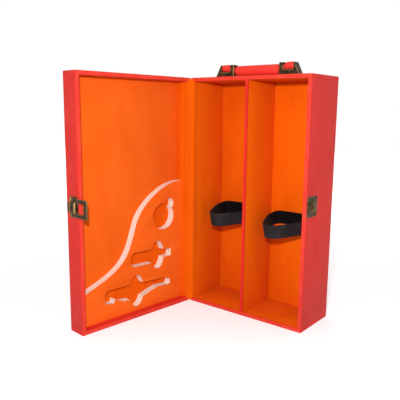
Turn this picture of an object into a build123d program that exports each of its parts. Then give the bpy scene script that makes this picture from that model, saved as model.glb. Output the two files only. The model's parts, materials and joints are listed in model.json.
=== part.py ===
from build123d import *

import os
from dataclasses import dataclass
from math import atan2, tan

# Millimetres and degrees. The case stands on its lower end. Everything is drawn with the hinge
# axis on the Z axis and the lid closed: X runs to the free side, Y to the back of the base.

# Case: its two halves
width = 200.0
height = 350.0
base_depth = 80.0
lid_depth = 30.0
lid_open_angle = 95.65
rim_gap = 0.3

# Case: wall layers from outside in, and how the cover is folded
skin = 0.8
board = 4.0
lining = 0.7
edge_radius = 1.2
end_bevel = 0.7
base_turn_in = 2.0
lid_turn_in = 14.0

# Hinge: leatherette flaps outside, velvet strips inside
hinge_flap = 12.0
hinge_leg = 10.0
hinge_fold = 0.5

# Divider between the bays
divider_board = 2.6
groove_depth = 1.2
groove_gap = 0.1
edging_leg = 2.7
edging_front = 0.6

# Bottle straps: level of each top edge at the back, and the ring's plan, whose corners are
# shares of its width and reach, with radii as shares of its width
left_strap_level = 156.0
right_strap_level = 152.0
strap_across = 70.0
strap_reach = 69.5
strap_shift = 1.5
strap_height = 20.0
strap_thickness = 1.3
strap_corner_shares = [(0.014, 0, 0.15), (0, 0.381, 0.82), (0.233, 1, 0.22),
                       (0.507, 1, 0.247), (1, 0.439, 0.342), (0.918, 0, 0.19)]
strap_seam_share = 0.36
strap_droop = 9.0
strap_slit_gap = 0.2

# Tool panel: foam block, its velvet face, and the S-shaped edge as shares of the lid's opening
foam = 11.3
panel_edge_shares = [(0, 0.556), (0.135, 0.547), (0.347, 0.485), (0.448, 0.426),
                     (0.523, 0.323), (0.598, 0.244), (0.831, 0.163), (1, 0.127)]

# Round recess with a knob
round_place_share = (0.205, 0.403)
round_diameter = 41.2
knob_diameter = 17.6
knob_reach = 21.8
knob_angle = 123.0

# Stopper recess: a collar across a body with a stub
stopper_place_share = (0.269, 0.231)
collar_length = 43.8
collar_width = 25.4
body_length = 51.5
body_width = 21.8
body_radius = 9.0
stub_length = 27.3
stub_width = 12.3
stub_radius = 1.5

# Opener recess: a collar across a long body, whose outline is in shares of its length and height
opener_place_share = (0.135, 0.020)
opener_length = 123.0
opener_height = 48.6
opener_collar_width = 27.2
opener_collar_share = 0.541
opener_outline_shares = [(1, 0.745, 0.134), (1, 0.354, 0.031), (0.874, 0.302, 0.031),
                         (0.862, 0.426, 0.02), (0.748, 0.282, 0.165), (0.642, 0.261, 0),
                         (0.431, 0.261, 0), (0.317, 0.354, 0.123), (0.195, 0.426, 0.123),
                         (0, 0.395, 0.07), (0, 0.57, 0.08), (0.09, 0.673, 0.1),
                         (0.447, 0.704, 0), (0.642, 0.747, 0)]

# Handle on top of the base: brackets
handle_setback = 28.0
grip_clear = 76.0
bracket_width = 12.0
bracket_floor = 2.0
bracket_post = 6.0
bracket_bridge = 1.0
bracket_wall = 1.0
bracket_slope = 9.0
bracket_lip = 0.8

# Handle: grip, necks and end rolls
grip_diameter = 13.2
grip_rise = 9.4
grip_core = 25.0
neck_diameter = 7.0
neck_bend = 2.0
neck_taper = 2.0
roll_diameter = 10.4
roll_length = 12.5
roll_rise = 13.3
roll_edge = 1.0
end_slack = 2.6
end_gap = 0.5
soft_gap = 0.3

# Split rivets that hold the brackets: two flat legs, bent apart under the board
rivet_spacing = 7.0
rivet_shank = 2.6
rivet_head_diameter = 5.0
rivet_head = 0.9
rivet_legs = 7.0
rivet_clinch = 1.0
rivet_gap = 0.1

# Latch: level of its centre line, plates and pins
latch_level = 176.0
plate_thickness = 0.9
plate_radius = 4.0
latch_setback = 2.0
latch_length = 20.0
latch_width = 27.5
pin_diameter = 1.6
pin_gap = 0.05
barrel_wall = 0.85
barrel_gap = 0.5
over_centre = 0.25

# Latch: lever between two ears
ear_offset = 4.0
ear_thickness = 1.2
ear_gap = 0.3
lever_throw = 9.0
lever_width = 12.4
lever_length = 13.5
lever_thickness = 1.3
lever_rise = 0.5
lever_neck = 2.3
finger_lip = 3.2
finger_lip_rise = 1.8
finger_lip_radius = 2.0

# Latch: loop, and the catch on the base that it is hooked over
loop_length = 37.5
loop_leg = 5.5
loop_bar = 7.5
loop_thickness = 1.5
loop_radius = 3.0
loop_side_gap = 0.8
catch_setback = 1.0
catch_length = 29.0
catch_width = 28.4
hook_thickness = 1.0
hook_foot = 5.5
hook_run = 6.5
hook_gap = 0.55
hook_clear = 1.2
hook_reach = 6.0
hook_side_gap = 1.0
hook_radius = 2.0

# Cut tacks that hold the latch and catch plates
nail_inset = 3.2
nail_shank = 1.1
nail_depth = 3.8
nail_head_diameter = 2.6
nail_head = 0.7
nail_gap = 0.05

# Heads of the rivets and tacks
head_sides = 8
head_taper = 35.0

overrun = 5.0

# Sizes that follow from those above
inner = skin + board
wall = inner + lining
middle = width / 2
divider = divider_board + 2 * lining
closed = Location((-middle, -base_depth / 2, 0))
opened = closed * Location((0, 0, 0), (0, 0, -lid_open_angle))
corner = (Align.MIN, Align.MIN, Align.MIN)
parts = {}


def block(x, y, z):
    """A box between two places along each axis."""
    spans = [sorted(pair) for pair in (x, y, z)]
    sizes = [high - low for low, high in spans]
    return Pos(*[low for low, high in spans]) * Box(*sizes, align=corner)


def rod(start, end, radius):
    """A round bar between two places."""
    path = Vector(end) - Vector(start)
    foot = (Align.CENTER, Align.CENTER, Align.MIN)
    return Plane(origin=start, z_dir=path) * Cylinder(radius, path.length, align=foot)


def outline(corners):
    """A closed face from corners given as (x, y, radius)."""
    points = [(x, y) for x, y, radius in corners]
    return make_face(FilletPolyline(*points, radius=[radius for x, y, radius in corners],
                                    close=True))


def keep(name, solids, place):
    """Put a finished sub-part in its place and list it."""
    solids = solids if isinstance(solids, list) else [solids]
    parts[name] = [place * solid for solid in solids]


@dataclass
class Half:
    """One half of the case, with depths measured from the rim plane through the hinge axis."""
    depth: float
    side: int
    rim: float
    turn_in: float

    def block(self, x, depths, z):
        return block(x, [self.side * depth for depth in depths], z)

    def lip_end(self):
        return self.rim + self.turn_in

    def floor(self):
        return self.depth - inner


base = Half(base_depth, 1, 0, base_turn_in)
lid = Half(lid_depth, -1, rim_gap, lid_turn_in)


# Boards, covers and linings, the same way for both halves

def boards(half):
    """Side boards between end boards, with the back board inside them."""
    depths = (half.rim + skin, half.depth - skin)
    tall = (inner, height - inner)
    return {
        "hinge": half.block((skin, inner), depths, tall),
        "free": half.block((width - inner, width - skin), depths, tall),
        "bottom": half.block((skin, width - skin), depths, (skin, inner)),
        "top": half.block((skin, width - skin), depths, (height - inner, height - skin)),
        "back": half.block((inner, width - inner), (half.floor(), half.depth - skin), tall),
    }


def wrap_cover(half):
    """One sheet from the hinge flap round the back and free side, over the free rim and in."""
    rim, back, lip = half.rim, half.depth, half.lip_end()
    inside = width - wall
    corners = [(0, hinge_flap, 0), (0, back, edge_radius), (width, back, edge_radius),
               (width, rim, edge_radius), (inside, rim, 0), (inside, lip, 0),
               (inside + lining, lip, 0), (inside + lining, rim + skin, 0),
               (width - skin, rim + skin, 0), (width - skin, back - skin, 0),
               (skin, back - skin, 0), (skin, hinge_flap, 0)]
    face = outline([(x, half.side * y, radius) for x, y, radius in corners])
    return Pos(0, 0, wall) * extrude(face, height - 2 * wall)


def end_cover(half):
    """The sheet over the lower end: down all four sides, and over the rim onto the board."""
    cap = half.block((0, width), (half.rim, half.depth), (0, wall))
    cap = fillet(cap.edges().filter_by(Axis.Z), edge_radius)
    cap = chamfer(cap.edges().group_by(Axis.Z)[0], end_bevel)
    cap -= half.block((skin, width - skin), (half.rim + skin, half.depth - skin), (skin, wall))
    return cap + half.block((inner, width - inner), (half.rim, half.lip_end()), (inner, wall))


def turned_over(shape):
    """The same shape at the upper end."""
    return mirror(shape, about=Plane.XY.offset(height / 2))


def bay_linings(half, x, low_start, high_start):
    """Velvet on the five inner faces of a bay between two places along X."""
    floor = half.floor()
    tall = (wall, height - wall)
    across = (x[0] - lining, x[1] + lining)
    bottom = half.block(across, (half.lip_end(), floor), (inner, wall))
    return {
        "low": half.block((x[0] - lining, x[0]), (low_start, floor), tall),
        "high": half.block((x[1], x[1] + lining), (high_start, floor), tall),
        "bottom": bottom,
        "top": turned_over(bottom),
        "back": half.block(x, (floor - lining, floor), tall),
    }


# Divider

def divider_panel(play):
    """The divider with tongues in the end and back boards; play widens it into its grooves."""
    x = (middle - divider_board / 2 - play, middle + divider_board / 2 + play)
    back = base.floor() + groove_depth + play
    low = inner - groove_depth - play
    front = block(x, (edging_back(), base.floor()), (wall, height - wall))
    return front + block(x, (base.lip_end() - play, back), (low, height - low))


def edging_back():
    return skin


def divider_edging():
    """A folded strip over the divider's front edge."""
    x = (middle - divider / 2, middle + divider / 2)
    front = edging_back() - edging_front
    strip = block(x, (front, edging_back() + edging_leg), (wall, height - wall))
    strip = fillet(strip.edges().filter_by(Axis.Z).group_by(Axis.Y)[0], edging_front)
    slot = (x[0] + lining, x[1] - lining)
    return strip - block(slot, (edging_back(), edging_back() + edging_leg), (0, height))


# Hinge

def bend(inside, outside):
    """A flexible layer where it bends round the hinge axis, from the base's rim to the lid's."""
    size = {"arc_size": lid_open_angle, "align": Align.NONE}
    layer = Cylinder(outside, height - 2 * wall, **size)
    if inside:
        layer -= Cylinder(inside, height - 2 * wall, **size)
    return Pos(0, 0, wall) * Rot(0, 0, -lid_open_angle) * layer


def hinge_skin():
    """The outer layer: a flap on each half, joined round the axis."""
    tall = (wall, height - wall)
    base_flap = block((0, skin), (0, hinge_flap), tall)
    lid_flap = block((0, skin), (0, -hinge_flap), tall)
    return base_flap + bend(0, skin) + Rot(0, 0, -lid_open_angle) * lid_flap


def hinge_lining():
    """The inner layer: over both rims and a little way down the inside of each half."""
    tall = (wall, height - wall)
    strips = []
    for half in (base, lid):
        rim = half.block((skin, wall), (0, half.rim + skin), tall)
        leg = half.block((inner, wall), (half.rim, hinge_leg), tall)
        strips.append(rim + leg)
    return strips[0] + bend(skin, skin + hinge_fold) + Rot(0, 0, -lid_open_angle) * strips[1]


# Bottle straps

def strap_plan():
    """The ring's outline, with its back on the back lining."""
    back = base.floor() - lining
    return outline([(strap_across * (along - 1 / 2), back - strap_reach * forward,
                     strap_across * radius) for along, forward, radius in strap_corner_shares])


def strap_band(level, grow):
    """The slanted space between the strap's edges: level at the back, drooping to the front."""
    back, floor = base.floor() - lining, base.floor() + skin
    front = back - strap_reach - overrun
    droop = strap_droop * (back - front) / strap_reach
    top, low = level + grow, level - strap_height - grow
    side = outline([(front, top - droop, 0), (back, top, 0), (floor, top, 0),
                    (floor, low, 0), (back, low, 0), (front, low - droop, 0)])
    return extrude(Plane.YZ * side, width, both=True)


def strap_tail(play):
    """Both ends of the strap, side by side, where they pass through the back lining."""
    seam = strap_across * (strap_seam_share - 1 / 2)
    x = (seam - strap_thickness - play, seam + strap_thickness + play)
    return block(x, (base.floor() - lining - strap_thickness, base.floor()), (0, height))


def bottle_strap(level):
    """A drooping ring with its tail."""
    plan = strap_plan()
    ring = extrude(plan - offset(plan, -strap_thickness), height)
    return (ring + strap_tail(0)) & strap_band(level, 0)


def strap_slit(level):
    """The slit that the tail passes through."""
    return strap_tail(strap_slit_gap) & strap_band(level, strap_slit_gap)


# Tool panel

def lid_place(share):
    """A place in the lid's opening."""
    return wall + share[0] * (width - 2 * wall), wall + share[1] * (height - 2 * wall)


def panel_outline():
    """The panel fills the lower part of the lid, up to an S-shaped edge."""
    edge = Spline(*[lid_place(share) for share in panel_edge_shares])
    sides = Polyline(edge @ 1, lid_place((1, 0)), lid_place((0, 0)), edge @ 0)
    return make_face([*edge.edges(), *sides.edges()])


def round_recess():
    knob = PolarLocations(knob_reach, 1, knob_angle) * Circle(knob_diameter / 2)
    return Pos(*lid_place(round_place_share)) * (Circle(round_diameter / 2) + knob)


def stopper_recess():
    collar = Ellipse(collar_width / 2, collar_length / 2)
    body = Pos(body_length / 2, 0) * RectangleRounded(body_length, body_width, body_radius)
    stub = Pos(-stub_length / 2, 0) * RectangleRounded(stub_length, stub_width, stub_radius)
    return Pos(*lid_place(stopper_place_share)) * (collar + body + stub)


def opener_recess():
    collar = Pos(opener_length * opener_collar_share, opener_height / 2) * Ellipse(
        opener_collar_width / 2, opener_height / 2)
    body = outline([(opener_length * along, opener_height * up, opener_height * radius)
                    for along, up, radius in opener_outline_shares])
    return Pos(*lid_place(opener_place_share)) * (body + collar)


def panel_layer(near, far):
    """One layer of the panel between two depths, with its recesses cut through."""
    face = panel_outline() - round_recess() - stopper_recess() - opener_recess()
    return extrude(Plane.XZ.offset(near) * face, far - near)


# Handle: places along the top, from the middle outwards

post_start = grip_clear / 2
post_end = post_start + bracket_post
roll_start = post_end + end_slack + end_gap
roll_end = roll_start + roll_length
window_end = roll_end + end_gap
bracket_end = window_end + bracket_wall + bracket_slope
neck_start = post_start - neck_bend
handle_centre = Pos(middle, handle_setback, height)


def neck_rise(x):
    """Height of the neck's centre line as it slopes up through the post."""
    slope = (roll_rise - grip_rise) / (roll_start - neck_start)
    return grip_rise + slope * (x - neck_start)


bracket_rise = neck_rise(post_end + end_slack) + neck_diameter / 2 + soft_gap + bracket_bridge


def bracket():
    """The right bracket: slotted post, open window, floor with lips and a sloping outer wall."""
    side = outline([(post_start, 0, 0), (bracket_end, 0, 0),
                    (window_end + bracket_wall, bracket_rise, 0), (window_end, bracket_rise, 0),
                    (window_end, bracket_floor, 0), (post_end, bracket_floor, 0),
                    (post_end, bracket_rise, 0), (post_start, bracket_rise, 0)])
    half = bracket_width / 2
    solid = extrude(Plane.XZ * side, half, both=True)
    lip_top = roll_rise - roll_diameter / 2 - soft_gap
    for front in (-half, half - bracket_lip):
        solid += block((post_end, window_end), (front, front + bracket_lip), (0, lip_top))
    slot_low = neck_rise(post_start) - neck_diameter / 2 - soft_gap
    slot_half = neck_diameter / 2 + soft_gap
    return solid - block((post_start - overrun, post_end), (-slot_half, slot_half),
                         (slot_low, bracket_rise - bracket_bridge))


def rivet_places():
    window = (post_end + window_end) / 2
    return [Pos(window + step * rivet_spacing / 2, 0, 0) for step in (-1, 1)]


def head(plane, diameter, rise):
    """The raised head of a rivet or tack."""
    face = RegularPolygon(diameter / 2, head_sides)
    return extrude(plane * face, rise, taper=head_taper)


def rivet(play):
    """One rivet through the bracket's floor, the cover and the board; play makes its hole."""
    half = rivet_shank / 2 + play
    legs = rivet_legs / 2 + play
    return (block((-half, half), (-half, half), (-inner, bracket_floor))
            + block((-half, half), (-legs, legs), (-inner, rivet_clinch - inner)))


def rivet_cap():
    return head(Plane.XY.offset(bracket_floor), rivet_head_diameter, rivet_head)


def grip():
    return rod((-grip_core, 0, grip_rise), (grip_core, 0, grip_rise), grip_diameter / 2)


def neck():
    """From the grip to the right end roll: it thins, then slopes up through the post."""
    thick = grip_diameter / 2
    thin = neck_diameter / 2
    taper = neck_start - neck_taper
    stations = [(taper, thick, grip_rise), (neck_start, thin, grip_rise),
                (roll_start, thin, roll_rise)]
    rings = [Plane(origin=(x, 0, z), z_dir=(1, 0, 0)) * Circle(radius) for x, radius, z in stations]
    return rod((grip_core, 0, grip_rise), (taper, 0, grip_rise), thick) + loft(rings, ruled=True)


def end_roll():
    roll = rod((roll_start, 0, roll_rise), (roll_end, 0, roll_rise), roll_diameter / 2)
    return chamfer(roll.edges().filter_by(GeomType.CIRCLE), roll_edge)


# Latch: heights above the side of the case, and distances from the rim plane

barrel = pin_diameter / 2 + barrel_wall
lever_pin_rise = plate_thickness + barrel_gap + barrel
loop_pin_rise = lever_pin_rise - over_centre
lever_pin_depth = latch_setback + ear_offset
loop_pin_depth = lever_pin_depth + lever_throw
lever_half = lever_width / 2
window_half = lever_half + loop_side_gap
ear_out = window_half - ear_gap
ear_in = ear_out - ear_thickness
loop_half = window_half + loop_leg
bar_end = loop_length - loop_pin_depth
bar_start = bar_end - loop_bar
latch_face = Pos(width, 0, latch_level)


def side_point(rise, depth):
    """A place on the closed lid's free side, from its height above it and depth from the rim."""
    return rise, -depth


def side_pin(rise, depth, half, radius):
    """An upright round bar beside the free side."""
    x, y = side_point(rise, depth)
    return rod((x, y, -half), (x, y, half), radius)


def nail_places(first, last, plate_width, turn):
    """Places of four nails near a plate's corners."""
    across = plate_width / 2 - nail_inset
    depths = (first + nail_inset, last - nail_inset)
    return [Pos(0, turn * depth, z) for depth in depths for z in (-across, across)]


def nail(play):
    """A tack's shank through the plate into the board; play makes its hole."""
    half = nail_shank / 2 + play
    return block((-nail_depth, plate_thickness), (-half, half), (-half, half))


def nail_cap():
    return head(Plane.YZ.offset(plate_thickness), nail_head_diameter, nail_head)


def side_plate(first, last, plate_width, turn):
    """A rounded plate with its nail holes, lying on the side of the case."""
    face = Pos(turn * (first + last) / 2, 0) * RectangleRounded(last - first, plate_width,
                                                               plate_radius)
    plate = extrude(Plane.YZ * face, plate_thickness)
    for place in nail_places(first, last, plate_width, turn):
        plate -= place * nail(nail_gap)
    return plate


def latch_plate():
    """The plate with two ears that carry the lever's pin."""
    plate = side_plate(latch_setback, latch_setback + latch_length, latch_width, -1)
    x, y = side_point(lever_pin_rise, lever_pin_depth)
    for low in (-ear_out, ear_in):
        z = (low, low + ear_thickness)
        ear = block((0, lever_pin_rise), (y - barrel, y + barrel), z)
        plate += ear + rod((x, y, z[0]), (x, y, z[1]), barrel)
    return plate - side_pin(lever_pin_rise, lever_pin_depth, ear_out, pin_diameter / 2 + pin_gap)


def latch_lever():
    """A tab on two barrels, narrow between the ears, with a curled finger lip."""
    low = loop_pin_rise + lever_rise
    high = low + lever_thickness
    bend = lever_pin_depth + lever_length - finger_lip
    tip = bend + finger_lip
    tab = outline([(*side_point(low, lever_pin_depth), 0),
                   (*side_point(low, bend), finger_lip_radius),
                   (*side_point(low + finger_lip_rise, tip), 0),
                   (*side_point(high + finger_lip_rise, tip - lever_thickness / 2), 0),
                   (*side_point(high, bend - lever_thickness / 2), finger_lip_radius / 2),
                   (*side_point(high, lever_pin_depth), 0)])
    lever = extrude(tab, lever_half, both=True)
    for rise, depth in ((lever_pin_rise, lever_pin_depth), (loop_pin_rise, loop_pin_depth)):
        lever += side_pin(rise, depth, lever_half, barrel)
    pivot_half = ear_in - ear_gap
    x, y = side_point(lever_pin_rise, lever_pin_depth)
    for z in ((-lever_half, -pivot_half), (pivot_half, lever_half)):
        lever -= block((x - overrun, x + overrun), (y - lever_neck, y + overrun), z)
    for rise, depth in ((lever_pin_rise, lever_pin_depth), (loop_pin_rise, loop_pin_depth)):
        lever -= side_pin(rise, depth, lever_half, pin_diameter / 2 + pin_gap)
    return lever


def latch_loop():
    """Two legs with eyes on the loop pin, joined by the bar that the hook holds."""
    frame = block((loop_pin_rise - loop_thickness / 2, loop_pin_rise + loop_thickness / 2),
                  (-loop_pin_depth, bar_end), (-loop_half, loop_half))
    ends = frame.edges().filter_by(Axis.X).group_by(Axis.Y)[-1]
    frame = fillet(ends, loop_radius)
    frame += side_pin(loop_pin_rise, loop_pin_depth, loop_half, barrel)
    window = block((0, width), (-loop_pin_depth - barrel, bar_start), (-window_half, window_half))
    frame -= window
    return frame - side_pin(loop_pin_rise, loop_pin_depth, loop_half, pin_diameter / 2 + pin_gap)


def catch_hook():
    """A strip that leaves the plate on a ramp and runs out over the loop's bar."""
    under = loop_pin_rise + loop_thickness / 2 + hook_gap
    knee = bar_start - hook_clear
    ramp = knee - hook_run
    lean = hook_thickness * tan(atan2(under - plate_thickness, hook_run) / 2)
    side = outline([(plate_thickness, ramp - hook_foot, 0), (plate_thickness, ramp, 0),
                    (under, knee, 0), (under, bar_start + hook_reach, 0),
                    (under + hook_thickness, bar_start + hook_reach, 0),
                    (under + hook_thickness, knee - lean, 0),
                    (plate_thickness + hook_thickness, ramp - lean, 0),
                    (plate_thickness + hook_thickness, ramp - hook_foot, 0)])
    hook = extrude(side, window_half - hook_side_gap, both=True)
    tips = hook.edges().filter_by(Axis.X).group_by(Axis.Y)
    return fillet(tips[-1] + tips[0], hook_radius)


# Assembly: every sub-part, in its place, with the holes that the fasteners pass through

def shell(half, holes):
    """The boards and covers of one half, drilled on the free side."""
    made = {f"{name}_board": solid for name, solid in boards(half).items()}
    made["bottom_cover"] = end_cover(half)
    made["top_cover"] = turned_over(made["bottom_cover"])
    made["wrap_cover"] = wrap_cover(half)
    for name in ("free_board", "wrap_cover"):
        for hole in holes:
            made[name] -= hole
    return made


def nails(first, last, plate_width, turn):
    """The four nails of a plate, and their holes."""
    places = [latch_face * place for place in nail_places(first, last, plate_width, turn)]
    return ([place * (nail(0) + nail_cap()) for place in places],
            [place * nail(nail_gap) for place in places])


def keep_all(prefix, pieces, place, names):
    """List a group of sub-parts, with some of their names replaced."""
    for name, solid in pieces.items():
        side, *kind = name.split("_")
        keep("_".join([prefix, names.get(side, side), *kind]), solid, place)


def make_base():
    catch = (catch_setback, catch_setback + catch_length, catch_width, 1)
    catch_nails, nail_holes = nails(*catch)
    made = shell(base, nail_holes)
    groove = divider_panel(groove_gap)
    for name in ("bottom_board", "top_board", "back_board"):
        made[name] -= groove
    for turn in (0, 180):
        for place in rivet_places():
            hole = handle_centre * Rot(0, 0, turn) * place * rivet(rivet_gap)
            made["top_board"] -= hole
            made["top_cover"] -= hole
    keep_all("base", made, closed, {"hinge": "left", "free": "right"})
    keep("divider_board", divider_panel(0), closed)
    keep("divider_edging", divider_edging(), closed)
    keep("catch_plate", latch_face * side_plate(*catch), closed)
    keep("catch_nails", catch_nails, closed)
    keep("catch_hook", latch_face * catch_hook(), closed)


def make_bays():
    """Each bay's linings and its bottle strap."""
    edging_end = edging_back() + edging_leg
    left = (wall, middle - divider / 2)
    right = (middle + divider / 2, width - wall)
    bays = [("left_bay", left, (hinge_leg, edging_end), left_strap_level,
             {"low": "wall", "high": "divider"}),
            ("right_bay", right, (edging_end, base.lip_end()), right_strap_level,
             {"low": "divider", "high": "wall"})]
    for bay, x, starts, level, names in bays:
        pieces = bay_linings(base, x, *starts)
        middle_of_bay = Pos((x[0] + x[1]) / 2 - strap_shift, 0, 0)
        pieces["back"] -= middle_of_bay * strap_slit(level)
        keep_all(bay, {f"{name}_lining": solid for name, solid in pieces.items()}, closed, names)
        keep(bay.replace("bay", "strap"), middle_of_bay * bottle_strap(level), closed)


def make_handle():
    rivets = []
    for side, turn in (("right", 0), ("left", 180)):
        place = handle_centre * Rot(0, 0, turn)
        holder = bracket()
        for spot in rivet_places():
            holder -= spot * rivet(rivet_gap)
            rivets.append(place * spot * (rivet(0) + rivet_cap()))
        keep(f"{side}_bracket", place * holder, closed)
        keep(f"{side}_neck", place * neck(), closed)
        keep(f"{side}_end_roll", place * end_roll(), closed)
    keep("handle_rivets", rivets, closed)
    keep("handle_grip", handle_centre * grip(), closed)


def make_lid():
    latch = (latch_setback, latch_setback + latch_length, latch_width, -1)
    latch_nails, nail_holes = nails(*latch)
    keep_all("lid", shell(lid, nail_holes), opened, {"back": "front"})
    pieces = bay_linings(lid, (wall, width - wall), hinge_leg, lid.lip_end())
    names = {"low": "hinge", "high": "free", "back": "front"}
    keep_all("lid", {f"{name}_lining": solid for name, solid in pieces.items()}, opened, names)
    foam_back = lid.floor() - lining
    keep("tool_foam", panel_layer(foam_back - foam, foam_back), opened)
    keep("tool_velvet", panel_layer(foam_back - foam - lining, foam_back - foam), opened)
    keep("latch_plate", latch_face * latch_plate(), opened)
    keep("latch_nails", latch_nails, opened)
    keep("latch_lever", latch_face * latch_lever(), opened)
    keep("latch_loop", latch_face * latch_loop(), opened)
    lever_pin = side_pin(lever_pin_rise, lever_pin_depth, ear_out, pin_diameter / 2)
    loop_pin = side_pin(loop_pin_rise, loop_pin_depth, loop_half, pin_diameter / 2)
    keep("lever_pin", latch_face * lever_pin, opened)
    keep("loop_pin", latch_face * loop_pin, opened)


def make_hinge():
    keep("hinge_skin", hinge_skin(), closed)
    keep("hinge_lining", hinge_lining(), closed)


make_base()
make_bays()
make_handle()
make_lid()
make_hinge()

os.makedirs("parts", exist_ok=True)
for name, solids in parts.items():
    export_step(solids[0] if len(solids) == 1 else Compound(solids), f"parts/{name}.step")
print(len(parts), "sub-parts written")
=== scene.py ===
# %% [markdown]
# A lockable wine box stands open on a pale floor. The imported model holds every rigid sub-part at
# its true size and place. It could be modelled again here, but one shared frame keeps the picture
# and the simulation the same, so the script loads that model and dresses it.

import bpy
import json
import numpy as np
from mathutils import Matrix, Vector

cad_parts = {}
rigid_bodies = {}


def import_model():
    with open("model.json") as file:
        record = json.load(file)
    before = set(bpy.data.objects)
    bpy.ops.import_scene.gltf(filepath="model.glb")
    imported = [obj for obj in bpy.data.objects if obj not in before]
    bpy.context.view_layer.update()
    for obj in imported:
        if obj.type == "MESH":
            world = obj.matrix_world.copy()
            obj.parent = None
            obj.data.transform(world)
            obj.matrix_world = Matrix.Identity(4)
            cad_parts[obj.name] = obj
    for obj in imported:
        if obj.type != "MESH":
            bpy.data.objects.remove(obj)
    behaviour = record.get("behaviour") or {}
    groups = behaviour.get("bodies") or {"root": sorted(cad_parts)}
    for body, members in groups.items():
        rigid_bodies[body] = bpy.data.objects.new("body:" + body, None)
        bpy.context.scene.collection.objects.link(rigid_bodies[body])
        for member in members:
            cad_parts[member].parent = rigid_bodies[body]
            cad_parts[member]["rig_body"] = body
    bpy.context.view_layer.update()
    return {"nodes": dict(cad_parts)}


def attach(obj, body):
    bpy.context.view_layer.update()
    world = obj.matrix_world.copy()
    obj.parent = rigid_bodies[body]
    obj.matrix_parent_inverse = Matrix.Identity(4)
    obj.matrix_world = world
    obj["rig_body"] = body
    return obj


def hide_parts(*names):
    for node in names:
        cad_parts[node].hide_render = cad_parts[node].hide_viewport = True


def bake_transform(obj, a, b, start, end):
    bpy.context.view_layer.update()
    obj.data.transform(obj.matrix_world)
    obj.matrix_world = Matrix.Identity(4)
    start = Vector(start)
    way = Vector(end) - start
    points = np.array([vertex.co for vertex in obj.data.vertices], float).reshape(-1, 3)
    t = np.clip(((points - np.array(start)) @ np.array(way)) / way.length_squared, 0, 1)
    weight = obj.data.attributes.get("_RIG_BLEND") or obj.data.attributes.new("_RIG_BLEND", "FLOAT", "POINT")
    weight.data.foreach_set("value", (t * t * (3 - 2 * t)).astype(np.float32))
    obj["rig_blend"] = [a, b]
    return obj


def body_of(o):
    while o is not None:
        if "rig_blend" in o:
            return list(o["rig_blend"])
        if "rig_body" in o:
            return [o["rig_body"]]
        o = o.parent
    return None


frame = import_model()

# %% [markdown]
# The box is drawn about its hinge: X runs to the free side, Y to the back of the base. One matrix
# puts such a place in the base, and another puts it in the open lid. Working from the hinge means
# that a number taken from the real box can be used as it is for either half.

# %% The two halves' places
import json
import math

import bmesh
import bpy
from mathutils import Matrix, Vector, noise
from mathutils.geometry import intersect_point_line

WIDTH, HEIGHT = 0.200, 0.350
BASE_DEPTH, LID_DEPTH = 0.080, 0.030
OPEN_TURN = math.radians(-95.65)
in_base = Matrix.Translation((-WIDTH / 2, -BASE_DEPTH / 2, 0))
in_lid = in_base @ Matrix.Rotation(OPEN_TURN, 4, "Z")
scene = bpy.context.scene


def mm(*sizes):
    """Millimetres to metres."""
    return Vector([size / 1000 for size in sizes])


print("lid's free edge stands at", [round(v, 3) for v in in_lid @ Vector((WIDTH, 0, 0))])

# %% [markdown]
# The camera stands where the photograph was taken: a little above the box and to its right. The
# place could be tried out by eye, but here it was worked out from the corners of the box. It is
# written as a heading, a downward tilt and a slight roll, which are easy to read and to change.

# %% Camera
HEADING, TILT, ROLL = map(math.radians, (38.825, 9.786, 0.604))
EYE = Vector((0.41387, -0.65405, 0.30194))
view_out = Vector((-math.sin(HEADING) * math.cos(TILT), math.cos(HEADING) * math.cos(TILT),
                   -math.sin(TILT)))
view_right = Vector((math.cos(HEADING), math.sin(HEADING), 0))
view_up = view_right.cross(view_out)
rolled_right = view_right * math.cos(ROLL) + view_up * math.sin(ROLL)
rolled_up = view_up * math.cos(ROLL) - view_right * math.sin(ROLL)
lens = bpy.data.cameras.new("camera")
lens.lens = 46.77
lens.sensor_width = 36.0
camera = bpy.data.objects.new("camera", lens)
camera.matrix_world = Matrix.Translation(EYE) @ Matrix(
    (rolled_right, rolled_up, -view_out)).transposed().to_4x4()
scene.collection.objects.link(camera)
scene.camera = camera
scene.view_settings.view_transform = "Standard"
print("camera looks along", [round(v, 2) for v in view_out])

# %% [markdown]
# A material is a small network of nodes. Sums could be wired one Math node at a time, but long
# formulas become hard to follow. Here one class wraps a socket and takes over Python's own signs,
# so that 1 - mask adds the node by itself. The same bench serves Geometry Nodes too.

# %% Wires and a bench to lay nodes on
class Wire:
    """An output socket that can be used in a formula."""

    def __init__(self, bench, socket):
        self.bench, self.socket = bench, socket

    def math(self, operation, *values):
        return self.bench.put("ShaderNodeMath", {"operation": operation}, values)

    def also(self, name):
        """Another output of the same node."""
        return Wire(self.bench, self.socket.node.outputs[name])

    def __add__(self, other):
        return self.math("ADD", self, other)

    def __sub__(self, other):
        return self.math("SUBTRACT", self, other)

    def __rsub__(self, other):
        return self.math("SUBTRACT", other, self)

    def __mul__(self, other):
        return self.math("MULTIPLY", self, other)

    __radd__, __rmul__ = __add__, __mul__

    def __truediv__(self, other):
        return self.math("DIVIDE", self, other)

    def __pow__(self, other):
        return self.math("POWER", self, other)

    def sine(self):
        return self.math("SINE", self)

    def between(self, low, high):
        """0 below low, 1 above high, with a soft step."""
        return self.bench.put("ShaderNodeMapRange", {"interpolation_type": "SMOOTHSTEP"},
                              {"Value": self, "From Min": low, "From Max": high})


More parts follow.
